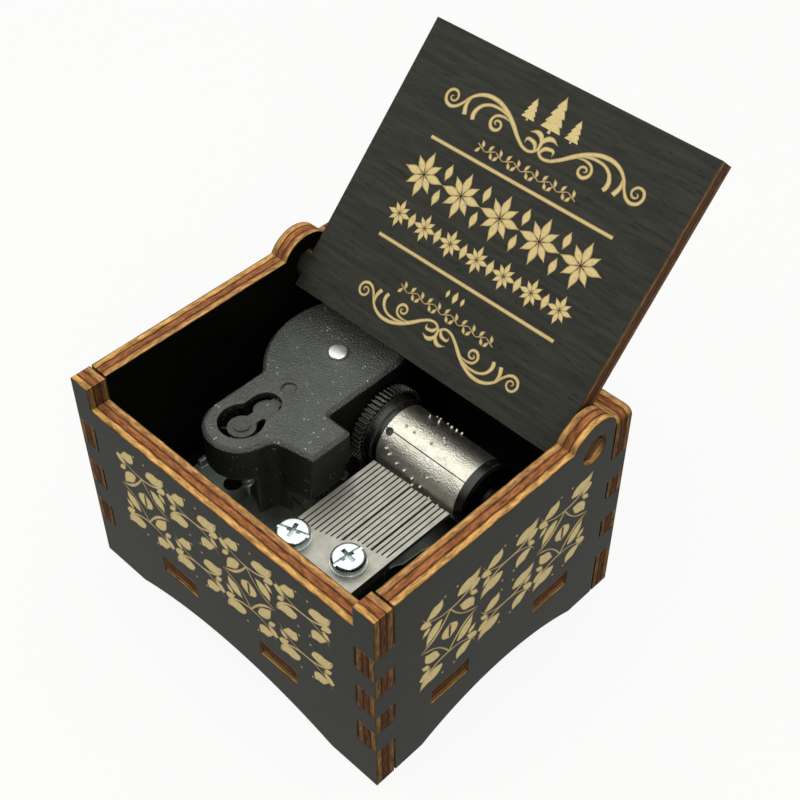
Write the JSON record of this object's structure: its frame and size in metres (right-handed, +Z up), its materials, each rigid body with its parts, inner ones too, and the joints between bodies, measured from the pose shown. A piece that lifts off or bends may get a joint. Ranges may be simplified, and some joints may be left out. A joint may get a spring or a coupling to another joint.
{
  "type": "wind-up wooden music box",
  "caption": "Finger-jointed plywood box with a lid on wooden trunnions, holding a spring-driven pinned-cylinder musical movement wound by a key underneath.",
  "frame": {"origin": "on the surface that its feet stand on, under the middle in plan of the box with its lid open", "axes": "+X to the right along the front panel, +Y from the front panel to the back panel, +Z up"},
  "size_m": [0.068, 0.0818, 0.0759],
  "materials": {
    "black_ply": "matt black paint on the faces, bare laser-cut plies on the edges",
    "inner_ply": "matt black paint",
    "zinc_casting": "as cast, dull",
    "black_plastic": "fine-grained moulding",
    "black_gear_plastic": "moulded, slightly glossy",
    "comb_steel": "ground",
    "bright_steel": "bright zinc plate",
    "nickel": "satin nickel plate",
    "spring_steel": "blued",
    "lead": "dull",
    "key_steel": "bright plate"
  },
  "bodies": {
    "case": {"front_panel": "black_ply", "back_panel": "black_ply", "left_side": "black_ply", "right_side": "black_ply", "bottom_panel": "inner_ply", "bed_plate": "zinc_casting", "movement_screws": "bright_steel", "movement_cover": "black_plastic", "top_bearing_arm": "black_plastic", "comb": "comb_steel", "comb_weights": "lead", "comb_dampers": "spring_steel", "comb_washers": "bright_steel", "comb_screws": "bright_steel", "bearing_bush": "black_gear_plastic", "train_bracket": "bright_steel", "idler_pin": "bright_steel", "click_spring": "spring_steel"},
    "lid": {"lid": "black_ply"},
    "key": {"winding_key": "key_steel", "winding_arbor": "bright_steel", "arbor_rivet": "bright_steel", "ratchet_wheel": "bright_steel"},
    "barrel": {"spring_barrel": "black_gear_plastic", "barrel_cover": "black_gear_plastic", "mainspring": "spring_steel"},
    "cylinder": {"music_cylinder": "nickel", "cylinder_gear": "black_gear_plastic", "cylinder_end_cap": "black_gear_plastic", "cylinder_shaft": "bright_steel"},
    "idler": {"idler_gear": "black_gear_plastic"},
    "wheel": {"governor_wheel": "black_gear_plastic"},
    "governor": {"governor_worm": "bright_steel", "air_fan": "black_plastic"}
  },
  "joints": [
    {"name": "lid_hinge", "type": "hinge", "parent": "case", "child": "lid", "pos_m": [0, 0.00715, 0.0403], "axis": [1, 0, 0], "range_deg": [0, 133.33]},
    {"name": "key_winding", "type": "hinge", "parent": "case", "child": "key", "pos_m": [-0.0156, -0.00001, 0], "axis": [0, 0, -1], "range_deg": [0, 1530]},
    {"name": "cylinder_spin", "type": "hinge", "parent": "case", "child": "cylinder", "pos_m": [0, -0.00001, 0.02306], "axis": [1, 0, 0], "continuous": true},
    {"name": "barrel_spin", "type": "hinge", "parent": "case", "child": "barrel", "pos_m": [-0.0156, -0.00001, 0], "axis": [0, 0, 1], "continuous": true},
    {"name": "idler_spin", "type": "hinge", "parent": "case", "child": "idler", "pos_m": [0, -0.01106, 0.01971], "axis": [1, 0, 0], "continuous": true},
    {"name": "wheel_spin", "type": "hinge", "parent": "case", "child": "wheel", "pos_m": [0, -0.01659, 0.02021], "axis": [1, 0, 0], "continuous": true},
    {"name": "governor_spin", "type": "hinge", "parent": "case", "child": "governor", "pos_m": [-0.0155, -0.02225, 0], "axis": [0, 0, 1], "continuous": true}
  ],
  "couplings": [
    {"joint": "barrel_spin", "follows": "cylinder_spin", "ratio": 0.66667},
    {"joint": "idler_spin", "follows": "cylinder_spin", "ratio": -1.8519},
    {"joint": "wheel_spin", "follows": "cylinder_spin", "ratio": 5},
    {"joint": "governor_spin", "follows": "cylinder_spin", "ratio": 130}
  ]
}
